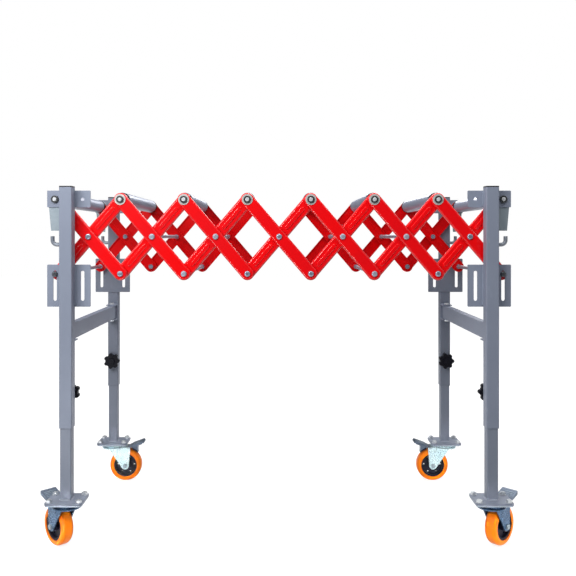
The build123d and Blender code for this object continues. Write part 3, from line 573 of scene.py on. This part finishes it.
# Wheels: an orange polyurethane tread moulded over a black polypropylene core that turns
# on the fork's bolt. The tread is a little dusty from rolling.
tread = Finish("tread_orange")
dust = tread.span(tread.noise(scale=70, detail=6), (0.45, 0.75))
dust_cover = 0.12
tread_orange = tread.surface(
    tread.blend(dust * dust_cover, (1.0, 0.22, 0.004), (0.8, 0.2, 0.015)),
    {
        "Roughness": tread.span(dust, (0, 1), (0.3, 0.46)),
        "Specular IOR Level": 0.2,
        "Subsurface Weight": 0.05,
        "Subsurface Radius": (0.006, 0.003, 0.001),
        "Normal": tread.bump(tread.noise(scale=700, detail=3), depth=0.00006),
    },
)
core_black = moulded("core_black", (0.006, 0.006, 0.014), (0.014, 0.014, 0.026), 0.42, 0.2)
tread_smallest = 0.09


def wheel_part(size, middle):
    return tread_orange if size.z > tread_smallest else core_black


for corner in corners:
    dress(f"{corner}_wheel", wheel_part)


# Brake pedals: a pressed and plated lever on the fork's pin, with four grip ribs across its
# foot plate and a black pad that its arm holds over the wheel.
lever_zinc = zinc_plate("lever_zinc", (0.13, 0.165, 0.22), (0.095, 0.125, 0.18), 0.34, 0.7)
grip_zinc = zinc_plate("grip_zinc", (0.3, 0.36, 0.42), (0.24, 0.3, 0.36), 0.3, 0.7)
pad_tallest = 0.02
headings = {"near_left": 136, "near_right": 44, "far_left": 0, "far_right": 180}  # degrees
knee = Vector((0.06025, 0, 0.1148))  # foot plate's inner end, from the swivel's axis
foot_plate_slope = math.radians(20)
rib_places = (0.008, 0.014, 0.02, 0.026)  # from the knee
rib_half, rib_radius, rib_step = 0.0165, 0.0011, 0.0011


def pedal_part(size, middle):
    return core_black if size.z < pad_tallest else lever_zinc


for corner in corners:
    dress(f"{corner}_brake_pedal", pedal_part)
    turn = Matrix.Rotation(math.radians(headings[corner]), 3, "Z")
    outward = turn @ Vector((math.cos(foot_plate_slope), 0, math.sin(foot_plate_slope)))
    across = turn @ y_axis
    shape = bmesh.new()
    for rib_place in rib_places:
        centre = leg_centre(corner, 0) + turn @ knee + rib_place * outward
        rib = straight(centre, rib_half * across, rib_step)
        lay_bead(shape, rib, across.cross(outward), rib_radius)
    fixed_piece(f"{corner}_pedal_grips", shape, grip_zinc, f"{corner}_pedal")


# Studio: a plain pale floor that keeps the table's shadow, dark curtains that only gloss
# shows, soft boxes on all sides and above, and a level camera at the photograph's place.
def studio_white(finish, low):
    """Strength of 1 where the background shows or is mirrored, else low."""
    shows = 0
    for kind in ("Camera", "Glossy", "Transmission"):
        path = finish.node("ShaderNodeLightPath", output=f"Is {kind} Ray")
        shows = path.math("MAXIMUM", path, shows)
    return finish.span(shows, (0, 1), (low, 1))


def studio_panel(name, outline, finish):
    """Flat panel with four corners."""
    mesh = bpy.data.meshes.new(name)
    mesh.from_pydata(outline, [], [(0, 1, 2, 3)])
    mesh.materials.append(finish)
    panel = bpy.data.objects.new(name, mesh)
    bpy.context.scene.collection.objects.link(panel)
    return panel


def soft_box(name, place, aim, size, watts):
    """Rectangular lamp that faces a point."""
    lamp = bpy.data.lights.new(name, "AREA")
    lamp.shape = "RECTANGLE"
    lamp.size, lamp.size_y = size
    lamp.energy = watts
    holder = bpy.data.objects.new(name, lamp)
    holder.location = place
    holder.rotation_euler = (Vector(aim) - Vector(place)).to_track_quat("-Z", "Y").to_euler()
    bpy.context.scene.collection.objects.link(holder)
    return holder


sky = Finish("studio", "worlds")
sky_light = 0.14
sky_sockets = {"Color": (1, 1, 1, 1), "Strength": studio_white(sky, sky_light)}
backdrop = sky.node("ShaderNodeBackground", sockets=sky_sockets)
sky.node("ShaderNodeOutputWorld", sockets={"Surface": backdrop})
bpy.context.scene.world = sky.owner

pale = Finish("floor_pale")
diffuse = pale.node("ShaderNodeBsdfDiffuse", sockets={"Color": (0.35, 0.35, 0.35, 1)})
distance = pale.node(
    "ShaderNodeVectorMath", {"operation": "LENGTH"}, {0: pale.place()}, "Value"
)
# The floor's glow is painted light: dimmer near the table and brighter further off, making up
# for the lamps' falloff so that the floor reads evenly white.
floor_glow_painted_light = pale.blend(pale.span(distance, (0.9, 2.6)), (0.8, 0.8, 0.8), (0.99, 0.99, 0.99))
glow_sockets = {"Color": floor_glow_painted_light, "Strength": studio_white(pale, 0)}
glow = pale.node("ShaderNodeEmission", sockets=glow_sockets)
both = pale.node("ShaderNodeAddShader", sockets={0: diffuse, 1: glow})
pale.node("ShaderNodeOutputMaterial", sockets={"Surface": both})
floor_outline = [(-12, -12, 0), (12, -12, 0), (12, 12, 0), (-12, 12, 0)]
studio_panel("floor", floor_outline, pale.owner)

curtain_outline = [(-1.9, 3.4, 0.05), (1.9, 3.4, 0.05), (1.9, 3.4, 2.5), (-1.9, 3.4, 2.5)]
for bearing in (0, 90, 180, 270):
    dark = Finish(f"curtain_{bearing}")
    dim = dark.node(
        "ShaderNodeEmission", sockets={"Color": (0.9, 0.95, 1, 1), "Strength": 0.07}
    )
    dark.node("ShaderNodeOutputMaterial", sockets={"Surface": dim})
    curtain = studio_panel(f"curtain_{bearing}", curtain_outline, dark.owner)
    curtain.rotation_euler = (0, 0, math.radians(bearing))
    for kind in ("camera", "diffuse", "transmission", "shadow", "volume_scatter"):
        setattr(curtain, f"visible_{kind}", False)

soft_box("front_box", (-1.05, -1.55, 1.5), (0, 0, 0.85), size=(1.2, 0.5), watts=26)
soft_box("fill_box", (0.2, -1.7, 2.5), (0, 0, 0.6), size=(1.6, 0.9), watts=20)
soft_box("top_box", (0, 0.3, 2.5), (0, 0, 0.5), size=(1.8, 1.0), watts=20)
low_box = soft_box(
    "low_box", (-0.7, -1.15, 0.1), (-0.1, -0.25, 0.78), size=(1.0, 0.12), watts=5
)
low_box.visible_camera = False
low_box.visible_diffuse = False
soft_box("right_box", (2.6, 0.2, 1.7), (0, 0, 0.5), size=(1.2, 0.9), watts=13)
soft_box("left_box", (-2.6, 0.2, 1.7), (0, 0, 0.5), size=(1.2, 0.9), watts=13)
soft_box("back_box", (0.6, 2.4, 2.0), (0, 0.1, 0.5), size=(1.5, 1.0), watts=30)
for end, lamp_x, wheel_x in (("left", -0.95, -0.57), ("right", 0.95, 0.57)):
    wheel_box = soft_box(
        f"{end}_wheel_box",
        (lamp_x, -1.45, 0.07),
        (wheel_x, -0.25, 0.04),
        size=(0.5, 0.06),
        watts=0.3,
    )
    wheel_box.data.spread = math.radians(12)
    wheel_box.visible_camera = False
    wheel_box.visible_glossy = False

view = bpy.data.cameras.new("view")
view.sensor_width = 36
view.lens = 46.56
view.shift_x = 0.0155
view.shift_y = -0.0898
camera = bpy.data.objects.new("view", view)
camera.location = (0, -2.142, 0.7854)
camera.rotation_euler = (math.pi / 2, 0, 0)
bpy.context.scene.collection.objects.link(camera)
bpy.context.scene.camera = camera
bpy.context.scene.view_settings.view_transform = "Standard"
